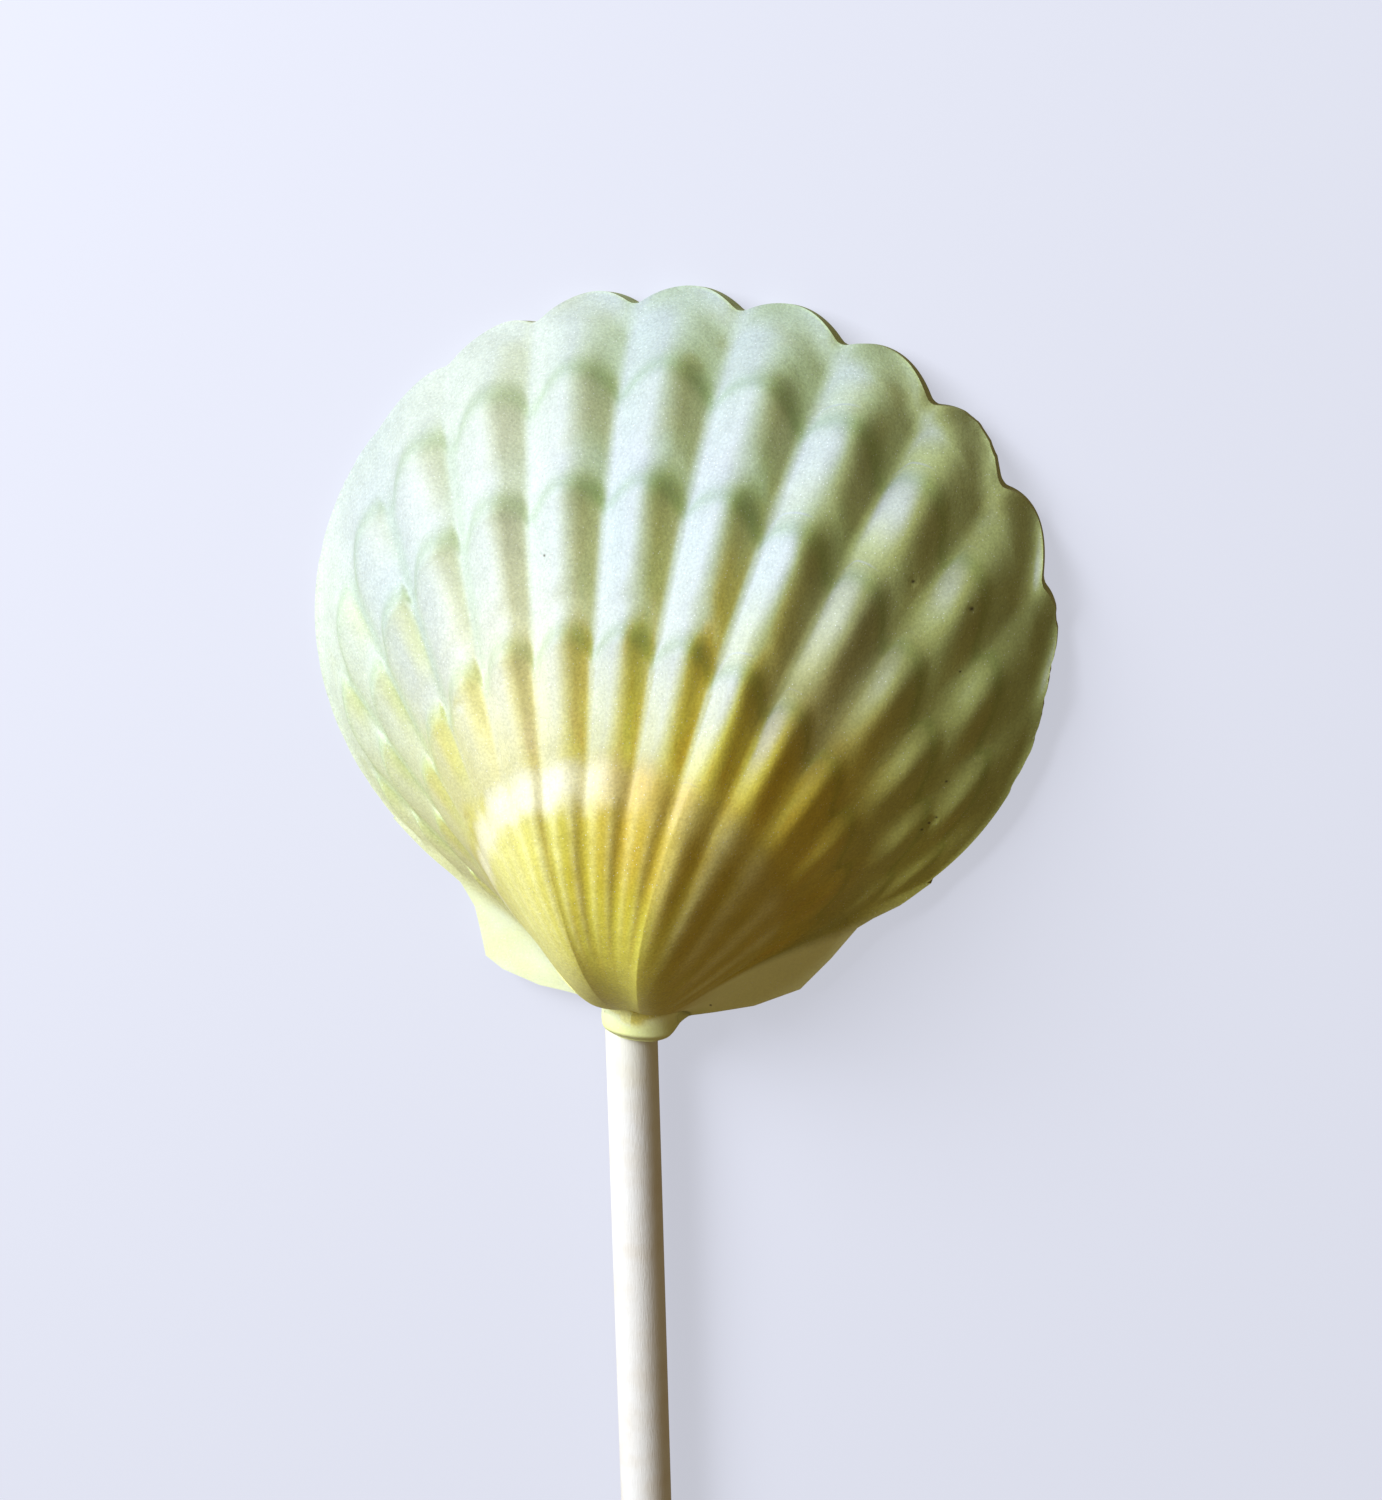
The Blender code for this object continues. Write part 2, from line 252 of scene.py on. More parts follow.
# Bubbles and nicks in the surface: x, y, radius and depth in the part's frame, in millimetres.
PITS = (
    (-12.86, 4.56, 0.42, 0.10),
    (-8.42, -2.32, 0.40, 0.09),
    (-8.96, -10.98, 0.40, 0.12),
    (-8.9, -10.5, 0.30, 0.09),
    (-8.48, 10.51, 0.30, 0.10),
    (-8.2, 10.1, 0.26, 0.08),
    (-8.7, 10.05, 0.24, 0.07),
    (-2.27, 7.87, 0.28, 0.07),
    (22.25, 5.55, 0.28, 0.08),
    (26.07, 3.49, 0.30, 0.08),
    (22.7, -12.2, 0.32, 0.10),
    (23.2, -11.8, 0.32, 0.10),
)
PIT_SQUARENESS = 4
PIT_LIP_SHARE = 0.3
PIT_LIP_RADIUS = 1.35
PIT_LIP_WIDTH = 0.3

# Dark specks: x, y and radius in the part's frame, in millimetres.
SPECKS = (
    (26.07, 3.49, 0.26),
    (22.25, 5.55, 0.20),
    (-2.27, 7.87, 0.16),
    (25.26, -0.87, 0.14),
    (24.18, -8.9, 0.16),
    (22.41, -12.49, 0.16),
    (22.9, -12.05, 0.17),
    (23.42, -11.64, 0.15),
    (6.1, -27.2, 0.16),
)

# Chips in the rim: first and last rim angle, number and greatest depth.
RIM_CHIPS = (
    (math.radians(41), math.radians(54), 16, 0.22 * MM),
    (math.radians(24), math.radians(29), 6, 0.14 * MM),
    (math.radians(-62), math.radians(-30), 12, 0.10 * MM),
)
CHIP_SEED = 7
CHIP_WIDTH = math.radians(0.55)
CHIP_WIDTH_SPREAD = (0.5, 1.3)
CHIP_DEPTH_SPREAD = (0.3, 1.0)
CHIP_SQUARENESS = 4


def rise(value, shut, full):
    """0 where a value is shut and 1 where it is full, smooth between."""
    share = np.clip((value - shut) / (full - shut), 0.0, 1.0)
    return share * share * (3 - 2 * share)


def opened(places, windows):
    """How far some windows over the surface are open together, from 0 to 1."""
    share = 1.0
    for place, shut, full, *rest in windows:
        left = rest[0] if rest else 0.0
        share = share * (left + (1 - left) * rise(places[place], shut, full))
    return share


def hump(value, width):
    """1 where the value is 0, and less on both sides of it."""
    return np.exp(-((value / width) ** 2))


def soft_floor(value, softness):
    """A value cut off below 0, with a soft bend."""
    return 0.5 * (value + np.hypot(value, softness))


def disc_reach(angle):
    """Distance from the umbo to the far side of the disc's ellipse, 0 where the ray misses it."""
    across = np.sin(angle) ** 2 / DISC_HALF_WIDTH**2
    along = np.cos(angle) ** 2 / DISC_HALF_LENGTH**2
    forward = np.cos(angle) * DISC_CENTRE / DISC_HALF_LENGTH**2
    outside = DISC_CENTRE**2 / DISC_HALF_LENGTH**2 - 1
    under_root = forward**2 - (across + along) * outside
    reach = (forward + np.sqrt(np.maximum(under_root, 0))) / (across + along)
    return np.where((under_root > 0) & (forward > 0), reach, 0.0)


def chain_reach(angle, chain):
    """Distance from the umbo to an open chain of straight edges, 0 where the ray misses it."""
    reach = np.zeros_like(angle)
    ray_x = np.sin(angle)
    ray_y = np.cos(angle)
    for (start_x, start_y), (end_x, end_y) in zip(chain, chain[1:]):
        edge_x = end_x - start_x
        edge_y = end_y - start_y
        cross = ray_x * edge_y - ray_y * edge_x
        cross = np.where(np.abs(cross) < LEAST_CROSS, LEAST_CROSS, cross)
        along_ray = (start_x * edge_y - start_y * edge_x) / cross
        along_edge = (start_x * ray_y - start_y * ray_x) / cross
        hit = (along_ray > 0) & (along_edge >= -SLACK) & (along_edge <= 1 + SLACK)
        reach = np.where(hit, np.maximum(reach, along_ray), reach)
    return reach


def collar_chain():
    """Right side, rounded end and left side of the collar, in plan."""
    right = COLLAR_OFFSET_X + COLLAR_RADIUS
    left = COLLAR_OFFSET_X - COLLAR_RADIUS
    points = [(right, 0.0)]
    for centre_x, first in ((right - COLLAR_CORNER, 0), (left + COLLAR_CORNER, -90)):
        for step in range(COLLAR_CORNER_STEPS + 1):
            turn = math.radians(first - 90 * step / COLLAR_CORNER_STEPS)
            x = centre_x + COLLAR_CORNER * math.cos(turn)
            y = -COLLAR_REACH + COLLAR_CORNER + COLLAR_CORNER * math.sin(turn)
            points.append((x, y))
    points.append((left, 0.0))
    return points


def in_metres(chain):
    return [(x * MM, y * MM) for x, y in chain]


def outline_reach(angle):
    """Distance from the umbo to the outline without the lobes."""
    angle = (np.asarray(angle) + math.pi) % FULL_TURN - math.pi
    reach = disc_reach(angle)
    for chain in (in_metres(EAR_RIGHT), in_metres(EAR_LEFT), collar_chain()):
        reach = np.maximum(reach, chain_reach(angle, chain))
    return reach


def profile(off_crest, crown, valley):
    """A rib's section: 1 on the crest, 0 in the valley, with a flank of even slope from crown to valley."""
    steps = np.linspace(0, 1, PROFILE_POINTS)
    slope = np.minimum(steps / crown, 1.0) * rise(steps, 1.0, valley)
    fall = np.concatenate([[0.0], np.cumsum(0.5 * (slope[1:] + slope[:-1]))])
    return 1 - np.interp(off_crest, steps, fall / fall[-1])


def rib_crest(places):
    """0 in the valleys and 1 on the crests: roof-like in the middle, rounder at the sides, umbo and rim."""
    off_crest = places["off_crest"]
    crest = profile(off_crest, *RIB_ROOF)
    rounded = np.maximum(opened(places, ROUND_LEFT), opened(places, ROUND_CAP))
    crest = crest + (profile(off_crest, *RIB_ROUND) - crest) * rounded
    soft = np.maximum(RIB_SOFT_SHARE_RIGHT * opened(places, SOFT_RIGHT), opened(places, SOFT_RIM))
    soft = np.maximum(soft, opened(places, SOFT_CAP))
    crest = crest + (0.5 + 0.5 * np.cos(math.pi * off_crest) - crest) * soft
    return np.where(np.abs(places["rib"]) < RIB_COUNT / 2, crest, 0.0)


def fine_ribs(places):
    """The cap's fine ribs: 1 on their crests."""
    wave = np.cos(FINE_RIBS_PER_RIB * FULL_TURN * (places["rib"] - FINE_RIB_SHIFT))
    return (0.5 + 0.5 * wave) ** FINE_RIB_POWER * opened(places, FINE_RIBS)


def tile_end(places):
    """How far the end of a tile bows out: its corner away from the fan's axis is the rounder one."""
    lean = np.clip(places["rib"] / TILE_LEAN_RIBS, -1, 1) * np.sign(places["across"])
    drop = TILE_CORNER + TILE_CORNER_LEAN * lean
    bow = TILE_MIDDLE - drop * places["across"] ** 2
    bow = bow + (drop - TILE_CORNER) * opened(places, TILE_END_VALLEY)
    return STEP_BOW * bow * opened(places, BOWED_TILES)


def tile_share(ring):
    """How far along its tile each place is, from the tile's start (0) to its end (1)."""
    start = np.zeros_like(ring)
    end = np.full_like(ring, 1.0)
    for band_start, band_end in zip((0.0, *STEPS), (*STEPS, 1.0)):
        within = (ring >= band_start) & (ring < band_end)
        start = np.where(within, band_start, start)
        end = np.where(within, band_end, end)
    return (ring - start) / (end - start)


def band_lift(ring, low, right):
    """Height of the growth steps: it rises along each band and drops at the band's end."""
    lift = np.zeros_like(ring)
    start = 0.0
    for end, height, drop, valley in zip(STEPS, STEP_HEIGHTS, STEP_DROPS, STEP_VALLEY_SHARES):
        share = (ring - start) / (end - start)
        power = STEP_RISE_POWER + (STEP_RISE_POWER_RIGHT - STEP_RISE_POWER) * right
        climb = np.clip(share, 0, 1) ** power
        fall = rise((ring - end) / (drop * (1 + STEP_DROP_GAIN_RIGHT * right)), 0.0, -1.0)
        within = (ring >= start) & (ring < end)
        lift = lift + np.where(within, height * climb * fall * (1 - (1 - valley) * low), 0.0)
        start = end
    return lift * (1 + STEP_HEIGHT_GAIN_RIGHT * right)


def nearest_step(ring, steps, offset):
    """How far each ring is from the nearest growth step, with the steps moved outwards by the offset."""
    return np.min([np.abs(ring - step - offset) for step in steps], axis=0)


def saddle(places, right):
    """How the ribs sink where they cross the growth steps."""
    at_step = hump(nearest_step(places["ring"], STEPS, 0.0), SADDLE_WIDTH_RIGHT)
    past_step = hump(nearest_step(places["ring"], STEPS[1:], SADDLE_OFFSET), SADDLE_WIDTH)
    return (1 - SADDLE_SHARE * right * at_step) * (1 - SADDLE_SHARE * (1 - right) * past_step)


def rim_chips(rim_angle):
    """How far chips in the rim reach inwards at each rim angle."""
    draw = np.random.default_rng(CHIP_SEED)
    depth = np.zeros_like(rim_angle)
    for first, last, count, greatest in RIM_CHIPS:
        for place in draw.uniform(first, last, count):
            width = CHIP_WIDTH * draw.uniform(*CHIP_WIDTH_SPREAD)
            deepest = greatest * draw.uniform(*CHIP_DEPTH_SPREAD)
            chip = deepest * np.exp(-(((rim_angle - place) / width) ** CHIP_SQUARENESS))
            depth = np.maximum(depth, chip)
    return depth


def ear_angles(chain):
    """Angles of the mesh columns over one ear, from the fan of ribs to the collar."""
    corners = np.array([math.atan2(abs(x), y) for x, y in chain])[::-1]
    corners = np.concatenate([[FAN_HALF], corners[corners > FAN_HALF + EAR_COLUMN_GAP]])
    shares = np.arange(1, EAR_COLUMNS_PER_EDGE + 1) / EAR_COLUMNS_PER_EDGE
    return (corners[:-1, None] + np.diff(corners)[:, None] * shares).ravel()


def column_angles():
    """Angles of the mesh columns at the rim, all the way round from the fan axis."""
    ribs = np.linspace(-FAN_HALF, FAN_HALF, RIB_COUNT * COLUMNS_PER_RIB + 1)
    right = ear_angles(EAR_RIGHT)
    right_collar = np.linspace(right[-1], math.pi, COLLAR_COLUMNS + 1)[1:]
    left = ear_angles(EAR_LEFT)
    left_collar = np.linspace(left[-1], math.pi, COLLAR_COLUMNS + 1)[1:-1]
    return np.concatenate([ribs, right, right_collar, -left_collar[::-1], -left[::-1]])


def surface_places(columns, rings):
    """What the windows measure, at every column and ring."""
    rim_angle, ring = np.meshgrid(columns, rings)
    rib = rim_angle / RIB_PITCH
    across = 2 * ((rib + 0.5) % 1.0) - 1
    return {
        "rim_angle": rim_angle,
        "angle": np.abs(rim_angle),
        "ring": ring,
        "rib": rib,
        "across": across,
        "off_crest": np.abs(across),
        "tile": tile_share(ring),
    }


def dome(x, y, distance, lobe, side_share):
    """Height of the smooth dome, with its own rings and how far inside its sides each place is."""
    blunt = UMBO_BLUNTNESS * hump(distance, UMBO_BLUNT_REACH)
    angle = np.arctan2(x, y + blunt)
    dome_distance = np.hypot(x, y + blunt) - blunt - lobe
    reach = np.maximum(disc_reach(angle), DISC_SIDE_REACH)
    share = dome_distance / reach / (1 - side_share)
    ring = np.clip(share, 0, 1)
    climb = 1 - np.exp(-(ring + DOME_RISE_START) / DOME_RISE)
    depth = soft_floor(1 - share, FLANGE_SOFTNESS) ** DOME_FALL_POWER
    at_rim = soft_floor(-side_share, FLANGE_SOFTNESS) ** DOME_FALL_POWER
    ridge = DOME_GAIN * climb * np.maximum(depth - at_rim, 0) / (1 - at_rim)
    inside = 1 - (np.abs(angle) / DOME_HALF_ANGLE) ** DOME_SIDE_POWER
    side = np.clip(soft_floor(inside, DOME_SIDE_SOFTNESS), 0, 1)
    height = ridge * side**DOME_SIDE_SHARPNESS * rise(y, UMBO_WALL_FOOT, UMBO_WALL_TOP)
    return height, ring, inside


def collar_top(x, y):
    """Height of the collar round the stick, 0 away from it."""
    off_axis = np.abs(x - COLLAR_OFFSET_X)
    barrel = STICK_AXIS_HEIGHT + np.sqrt(np.maximum(COLLAR_RADIUS**2 - off_axis**2, 0))
    sides = COLLAR_SIDE_SLOPE * np.maximum(off_axis - COLLAR_RADIUS, 0)
    lip = COLLAR_LIP_ROUNDING * rise(-y, COLLAR_REACH - COLLAR_LIP_LENGTH, COLLAR_REACH) ** 2
    return np.where(y < UMBO_WALL_TOP, barrel - sides - lip, 0.0)


def colour_values(places, distance, side_fade):
    """What the colours are mixed by, at every point of the surface."""
    arc_width = ARC_WIDTH + ARC_WIDTH_GAIN * opened(places, ARC_WIDE_LEFT)
    arc = hump(nearest_step(places["ring"], STEPS[1:], -ARC_INSET), arc_width)
    valley_line = VALLEY_LINE_SHARE * hump(1 - places["off_crest"], VALLEY_LINE_WIDTH)
    valley_line = valley_line * opened(places, VALLEY_LINE)
    crest_line = (0.5 + 0.5 * np.cos(FULL_TURN * (places["rib"] + CREST_LINE_SHIFT))) ** CREST_LINE_POWER
    return {
        "shell_far": distance / DISC_REACH,
        "shell_ring": places["ring"],
        "shell_rib": places["rib"],
        "shell_tile": places["tile"],
        "shell_flank_shade": opened(places, FLANK_SHADE) * side_fade,
        "shell_crescent": opened(places, CRESCENT) * side_fade,
        "shell_fine_ribs": fine_ribs(places),
        "shell_crest_line": crest_line * opened(places, CREST_LINE) * side_fade,
        "shell_arc": np.maximum(arc, valley_line) * side_fade,
        "shell_ear": opened(places, EARS),
    }


def shell_points(columns, rings):
    """Top surface over rings and columns in the shell's own frame, with the values its colours use."""
    places = surface_places(columns, rings)
    rim_angle = places["rim_angle"]
    ring = places["ring"]
    on_fan = places["angle"] <= FAN_HALF + SLACK
    crest = rib_crest(places)
    lobed = opened(places, LOBES)

    side_share = FLANGE_SHARE * opened(places, FLANGE_SIDES)
    flange = side_share * opened(places, FLANGE_RING)
    share = ring * (1 - flange) + tile_end(places) * (np.abs(places["rib"]) < RIB_COUNT / 2)
    spread = 1 + RIB_SPREAD * (1 - share) ** RIB_SPREAD_POWER
    rest_scale = (math.pi - FAN_HALF * spread) / (math.pi - FAN_HALF)
    rest_angle = np.sign(rim_angle) * (math.pi - (math.pi - places["angle"]) * rest_scale)
    angle = np.where(on_fan, rim_angle * spread, rest_angle)

    reach = outline_reach(angle)
    lobe = LOBE_SHARE * lobed * RIB_PITCH * reach * profile(places["off_crest"], *RIM_LOBE)
    chips = rim_chips(rim_angle) * opened(places, CHIPPED_RIM)
    distance = share * reach + lobe * share**LOBE_POWER - chips
    x = distance * np.sin(angle)
    y = distance * np.cos(angle)
    body, places["dome_ring"], places["inside"] = dome(x, y, distance, distance - share * reach, side_share)

    side_fade = opened(places, RIB_SIDES) * (1 - opened(places, DOME_EDGE))
    right = opened(places, RIGHT_SIDE)
    rib_start = opened(places, RIB_START)
    rib_width = distance * RIB_PITCH * spread
    ribs = RIB_DEPTH_SHARE * crest * rib_start * opened(places, RIB_STRENGTH) * saddle(places, right)
    relief = rib_width * (ribs + FINE_RIB_SHARE * fine_ribs(places)) * side_fade
    tiles = band_lift(ring, (1 - crest) * rib_start, right) * side_fade
    tiles = tiles * (1 - STEP_FLANK_LOSS * opened(places, STEP_FLANK))
    rolled = opened(places, ROLLED_RIM) * lobed
    edge = EDGE_THICKNESS + rolled * (EDGE_VALLEY_RISE * (1 - crest) - EDGE_CREST_DROP * crest)
    top = np.maximum(edge + body + relief + tiles, collar_top(x, y))
    return x, y, top, colour_values(places, distance, side_fade)


def to_part_frame(x, y):
    """Plan positions in the shell's own frame, leaned and moved into the part's frame."""
    turned_x = x * math.cos(FAN_LEAN) + y * math.sin(FAN_LEAN) + UMBO_X
    turned_y = -x * math.sin(FAN_LEAN) + y * math.cos(FAN_LEAN) + UMBO_Y
    return turned_x, turned_y


def make_object(name, vertices, faces, material, values=None):
    data = bpy.data.meshes.new(name)
    data.from_pydata(vertices, [], faces)
    data.validate()
    for key, numbers in (values or {}).items():
        attribute = data.attributes.new(key, "FLOAT", "POINT")
        attribute.data.foreach_set("value", np.asarray(numbers, dtype=np.float32).ravel())
    data.materials.append(material)
    data.shade_smooth()
    piece = bpy.data.objects.new(name, data)
    bpy.context.scene.collection.objects.link(piece)
    return piece


def pit_depth(x, y):
    """Depth of the bubbles and nicks at plan positions in the part's frame, with the low lips round them."""
    depth = np.zeros_like(x)
    for pit_x, pit_y, radius, deep in PITS:
        away = np.hypot(x - pit_x * MM, y - pit_y * MM) / (radius * MM)
        lip = PIT_LIP_SHARE * hump(away - PIT_LIP_RADIUS, PIT_LIP_WIDTH)
        depth = depth + deep * MM * (np.exp(-(away**PIT_SQUARENESS)) - lip)
    return depth


def mark_sharp_rows(data, row_length, rows):
    """Marks the edges that run along some rows of the grid as sharp."""
    ends = np.empty(len(data.edges) * 2, dtype=np.int32)
    data.edges.foreach_get("vertices", ends)
    row_of = (ends.reshape(-1, 2) - 1) // row_length
    along_row = row_of[:, 0] == row_of[:, 1]
    sharp = data.attributes.new("sharp_edge", "BOOLEAN", "EDGE")
    sharp.data.foreach_set("value", along_row & np.isin(row_of[:, 0], rows))


def mark_facing(data):
    """Marks how squarely each point faces the key lamp, which places both the pearl dust and the painted
    light.
    """
    normals = np.empty(len(data.vertices) * 3, dtype=np.float32)
    data.vertex_normals.foreach_get("vector", normals)
    towards = normals.reshape(-1, 3) @ np.array(DUST_AND_LIGHT_DIRECTION)
    facing = data.attributes.new("shell_facing", "FLOAT", "POINT")
    facing.data.foreach_set("value", np.clip((towards - DUST_AND_LIGHT_FROM) / (DUST_AND_LIGHT_FULL - DUST_AND_LIGHT_FROM), 0, 1))


def make_shell(material):
    """The top surface from its rings, with a straight wall down to the flat back."""
    columns = column_angles()
    rings = np.linspace(0, 1, RING_STEPS + 1)[1:]
    x, y, z, values = shell_points(columns, rings)
    x, y = to_part_frame(x, y)
    z = z - pit_depth(x, y)
    apex_x, apex_y, apex_z, apex_values = shell_points(np.array([0.0]), np.array([APEX_RING]))
    apex_x, apex_y = to_part_frame(apex_x, apex_y)
    count = len(columns)

    top = np.stack([x, y, z], axis=-1)
    walls = [top[-1:] * (1, 1, share) for share in WALL_HEIGHTS]
    grid = np.concatenate([top, *walls])
    rows = len(grid)
    vertices = np.concatenate([[[apex_x[0, 0], apex_y[0, 0], apex_z[0, 0]]], grid.reshape(-1, 3)])
    values = {
        key: np.concatenate([apex_values[key].ravel(), v.ravel(), np.tile(v[-1], len(WALL_HEIGHTS))])
        for key, v in values.items()
    }
    faces = []
    for j in range(count):
        after = (j + 1) % count
        faces.append((0, 1 + after, 1 + j))
        for i in range(rows - 1):
            inner = 1 + i * count
            outer = inner + count
            faces.append((inner + j, inner + after, outer + after, outer + j))
    last = 1 + (rows - 1) * count
    faces.append(tuple(last + j for j in range(count)))
    shell = make_object("shell_surface", vertices.tolist(), faces, material, values)
    mark_sharp_rows(shell.data, count, (RING_STEPS - 1, rows - 1))
    mark_facing(shell.data)
    return shell


def stick_rows():
    """Rows of the stick's grid: place along it, share of the radius on an end face, and which way is in."""
    face = np.linspace(STICK_FACE_CENTRE, 1.0, STICK_FACE_RINGS)
    rows = [(STICK_INNER_END, share, -1) for share in face]
    for row in range(1, STICK_ROWS):
        along = STICK_INNER_END + (STICK_OUTER_END - STICK_INNER_END) * row / STICK_ROWS
        rows.append((along, None, 0))
    rows.extend((STICK_OUTER_END, share, 1) for share in face[::-1])
    return rows


def make_stick(material):
    """Stick of rolled paper: a lap seam along its length and the layers of the roll on its ends."""
    turns = np.arange(STICK_SIDES) / (STICK_SIDES - 1)
    rows = stick_rows()
    vertices = []
    for along, share, inward in rows:
        twist = (along - STICK_INNER_END) / (STICK_OUTER_END - STICK_INNER_END)
        start = STICK_SEAM_ANGLE + STICK_SEAM_TWIST * twist
        for turn in turns:
            angle = start + FULL_TURN * turn * STICK_SEAM_CLOSED
            radius = STICK_RADIUS - STICK_SEAM * (1 - min(turn / STICK_SEAM_WIDTH, 1.0))
            y = along
            if share is not None:
                rounding = max(share - STICK_ROUNDED_FROM, 0) / (1 - STICK_ROUNDED_FROM)
                layer = math.cos(FULL_TURN * (share * STICK_RADIUS / STICK_LAYER + turn))
                groove = STICK_LAYER_GROOVE * (0.5 - 0.5 * layer) * (1 - rounding)
                y += inward * (groove + STICK_END_ROUNDING * rounding**2)
                radius *= share
            vertices.append((radius * math.cos(angle), y, STICK_AXIS_HEIGHT + radius * math.sin(angle)))
    faces = [tuple(range(STICK_SIDES))]
    for row in range(len(rows) - 1):
        here = row * STICK_SIDES
        for side in range(STICK_SIDES):
            after = (side + 1) % STICK_SIDES
            faces.append((here + side, here + STICK_SIDES + side, here + STICK_SIDES + after, here + after))
    last = (len(rows) - 1) * STICK_SIDES
    faces.append(tuple(last + side for side in reversed(range(STICK_SIDES))))
    stick = make_object("paper_stick", vertices, faces, material)
    stick.data.set_sharp_from_angle(angle=STICK_SHARP_ANGLE)
    return stick


def new_material(name):
    material = bpy.data.materials.new(name)
    material.use_nodes = True
    tree = material.node_tree
    return material, tree, tree.nodes["Principled BSDF"]


def fill(tree, socket, value):
    """Links a socket to another or sets it to a value."""
    if isinstance(value, bpy.types.NodeSocket):
        tree.links.new(value, socket)
    else:
        socket.default_value = value


def new_node(tree, kind, **inputs):
    """A node of a kind with its named inputs filled."""
    node = tree.nodes.new(kind)
    for name, value in inputs.items():
        fill(tree, node.inputs[name.replace("_", " ")], value)
    return node


def math_node(tree, operation, *values):
    node = tree.nodes.new("ShaderNodeMath")
    node.operation = operation
    for socket, value in zip(node.inputs, values):
        fill(tree, socket, value)
    return node.outputs[0]


def vector_math(tree, operation, first, second):
    node = tree.nodes.new("ShaderNodeVectorMath")
    node.operation = operation
    fill(tree, node.inputs[0], first)
    fill(tree, node.inputs[1], second)
    return node.outputs


def combine(tree, x, y):
    return new_node(tree, "ShaderNodeCombineXYZ", X=x, Y=y).outputs[0]


def product(tree, *values):
    """Product of sockets and numbers."""
    result = values[0]
    for value in values[1:]:
        result = math_node(tree, "MULTIPLY", result, value)
    return result


def blend(tree, share, first, second, mode="MIX"):
    """The first colour where the share is 0 and the second where it is 1."""
    node = tree.nodes.new("ShaderNodeMix")
    node.data_type = "RGBA"
    node.blend_type = mode
    fill(tree, node.inputs["Factor"], share)
    for socket, colour in ((node.inputs[6], first), (node.inputs[7], second)):
        fill(tree, socket, (*colour, 1) if isinstance(colour, tuple) else colour)
    return node.outputs[2]


def attribute(tree, name):
    node = tree.nodes.new("ShaderNodeAttribute")
    node.attribute_name = name
    return node.outputs["Fac"]


def ramp(tree, value, stops, smooth="LINEAR"):
    node = tree.nodes.new("ShaderNodeValToRGB")
    node.color_ramp.interpolation = smooth
    elements = node.color_ramp.elements
    while len(elements) < len(stops):
        elements.new(0.5)
    for element, (position, colour) in zip(elements, stops):
        element.position = position
        element.color = (*colour, 1)
    tree.links.new(value, node.inputs[0])
    return node.outputs[0]


def window(tree, value, shut, full, left=0.0):
    """A window over a value, smooth from where it is shut to where it is open."""
    node = new_node(tree, "ShaderNodeMapRange", Value=value, From_Min=shut, From_Max=full, To_Min=left)
    node.interpolation_type = "SMOOTHSTEP"
    return node.outputs[0]


def level(tree, value, at_0, at_1):
    """A value from 0 to 1, stretched evenly to two levels."""
    return new_node(tree, "ShaderNodeMapRange", Value=value, To_Min=at_0, To_Max=at_1).outputs[0]


def noise(tree, vector, scale, detail=2.0, roughness=0.5):
    inputs = {"Vector": vector, "Scale": scale, "Detail": detail, "Roughness": roughness}
    return new_node(tree, "ShaderNodeTexNoise", **inputs).outputs["Fac"]


def dots(tree, place, scale, picked_above, edge):
    """Round dots in some of the cells of a random pattern: 1 inside them."""
    cells = new_node(tree, "ShaderNodeTexVoronoi", Vector=place, Scale=scale)
    picked = math_node(tree, "GREATER_THAN", math_node(tree, "FRACT", cells.outputs["Color"]), picked_above)
    return product(tree, picked, window(tree, cells.outputs["Distance"], *edge))


def bump(tree, shader, height, strength):
    node = new_node(tree, "ShaderNodeBump", Height=height, Strength=strength, Distance=BUMP_HEIGHT)
    tree.links.new(node.outputs[0], shader.inputs["Normal"])


class Wash(NamedTuple):
    """A colour, or the name of a source that holds one, to lay over another.

    It is as strong as the product of its strength, windows, levels and masks.
    """

    colour: tuple | str
    strength: float = 1.0
    windows: tuple = ()
    levels: tuple = ()
    masks: tuple = ()
    mode: str = "MIX"


def weight(tree, sources, wash):
    """How strongly a wash covers each place."""
    factors = [wash.strength]
    factors += [window(tree, sources[source], *limits) for source, *limits in wash.windows]
    factors += [level(tree, sources[source], *ends) for source, *ends in wash.levels]
    factors += [sources[source] for source in wash.masks]
    return product(tree, *factors)


def lay(tree, sources, colour, washes):
    """A colour with washes laid over it, one after another."""
    for wash in washes:
        over = sources[wash.colour] if isinstance(wash.colour, str) else wash.colour
        colour = blend(tree, weight(tree, sources, wash), colour, over, wash.mode)
    return colour


# Height of full relief in the fine texture of the surfaces
BUMP_HEIGHT = 0.1 * MM
